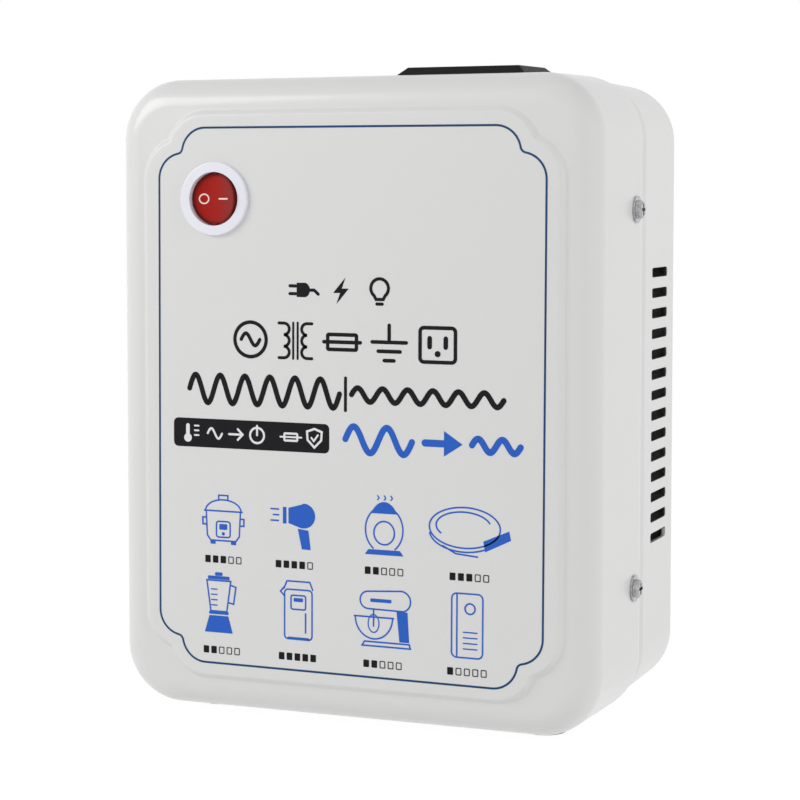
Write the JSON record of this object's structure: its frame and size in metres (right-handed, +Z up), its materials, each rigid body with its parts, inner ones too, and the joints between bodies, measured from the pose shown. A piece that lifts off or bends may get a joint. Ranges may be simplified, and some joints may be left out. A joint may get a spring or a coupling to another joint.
{
  "type": "travel voltage converter",
  "caption": "Step-down mains transformer in an upright pale grey steel case, with a lit round rocker switch in front, an output socket on top and side vents.",
  "frame": {"origin": "middle of the bounding box's footprint, on the surface that the rubber feet stand on", "axes": "+Z up, -Y out of the front face with the switch, +X to the right seen from the front"},
  "size_m": [0.1662, 0.1122, 0.2067],
  "materials": {
    "case_paint": "satin pale grey stoving enamel",
    "screw_steel": "bright nickel-plated steel",
    "black_rubber": "soft black rubber",
    "white_plastic": "smooth off-white moulded plastic",
    "red_plastic": "translucent red, lit from behind",
    "black_plastic": "black moulded plastic, fine grain",
    "spring_steel": "hard drawn wire",
    "contact_brass": "stamped brass",
    "lamp_glass": "small glass lamp",
    "core_steel": "wound electrical steel strip",
    "winding_copper": "enamelled copper wire",
    "tape": "black polyester tape",
    "zinc_steel": "zinc-plated steel",
    "cutout_plastic": "dark moulded shell",
    "block_plastic": "natural nylon",
    "lead_black": "black insulation",
    "lead_white": "white insulation",
    "lead_green": "green insulation",
    "lead_red": "red insulation"
  },
  "bodies": {
    "case": {"front_shell": "case_paint", "rear_shell": "case_paint", "case_screws": "screw_steel", "rubber_feet": "black_rubber", "switch_housing": "white_plastic", "switch_terminals": "contact_brass", "switch_lamp": "lamp_glass", "outlet_housing": "black_plastic", "outlet_neutral_contact": "contact_brass", "outlet_live_contact": "contact_brass", "outlet_earth_contact": "contact_brass", "outlet_cover": "black_plastic", "toroid_core": "core_steel", "toroid_winding": "winding_copper", "toroid_tape": "tape", "toroid_rear_pad": "black_rubber", "toroid_front_pad": "black_rubber", "toroid_clamp_plate": "zinc_steel", "toroid_washer": "zinc_steel", "toroid_nut": "zinc_steel", "toroid_bolt": "zinc_steel", "thermal_cutout": "cutout_plastic", "breaker_housing": "black_plastic", "breaker_nut": "zinc_steel", "breaker_terminals": "contact_brass", "gland_body": "black_plastic", "gland_seal": "black_rubber", "gland_dome_nut": "black_plastic", "gland_locknut": "black_plastic", "terminal_block": "block_plastic", "terminal_screws": "screw_steel", "terminal_block_fixings": "screw_steel", "lead_breaker_to_switch": "lead_black", "lead_switch_to_coil": "lead_red", "lead_block_to_breaker": "lead_black", "lead_block_to_neutral": "lead_white", "lead_block_to_earth": "lead_green", "lead_coil_to_live": "lead_black", "lead_coil_to_block": "lead_white"},
    "switch_rocker": {"switch_rocker": "red_plastic", "switch_plunger": "spring_steel", "switch_spring": "spring_steel"},
    "switch_lever": {"switch_lever": "contact_brass"},
    "breaker_button": {"breaker_button": "white_plastic"}
  },
  "joints": [
    {"name": "switch_rocker_hinge", "type": "hinge", "parent": "case", "child": "switch_rocker", "pos_m": [-0.0439, -0.05297, 0.1658], "axis": [0, 0, 1], "range_deg": [0, 20]},
    {"name": "switch_lever_hinge", "type": "hinge", "parent": "case", "child": "switch_lever", "pos_m": [-0.0439, -0.04177, 0.1658], "axis": [0, 0, 1], "range_deg": [-14, 0]},
    {"name": "breaker_button_slide", "type": "slide", "parent": "case", "child": "breaker_button", "axis": [0, 1, 0], "range_m": [0, 0.0035]}
  ],
  "couplings": [
    {"joint": "switch_lever_hinge", "follows": "switch_rocker_hinge", "ratio": -0.7}
  ]
}
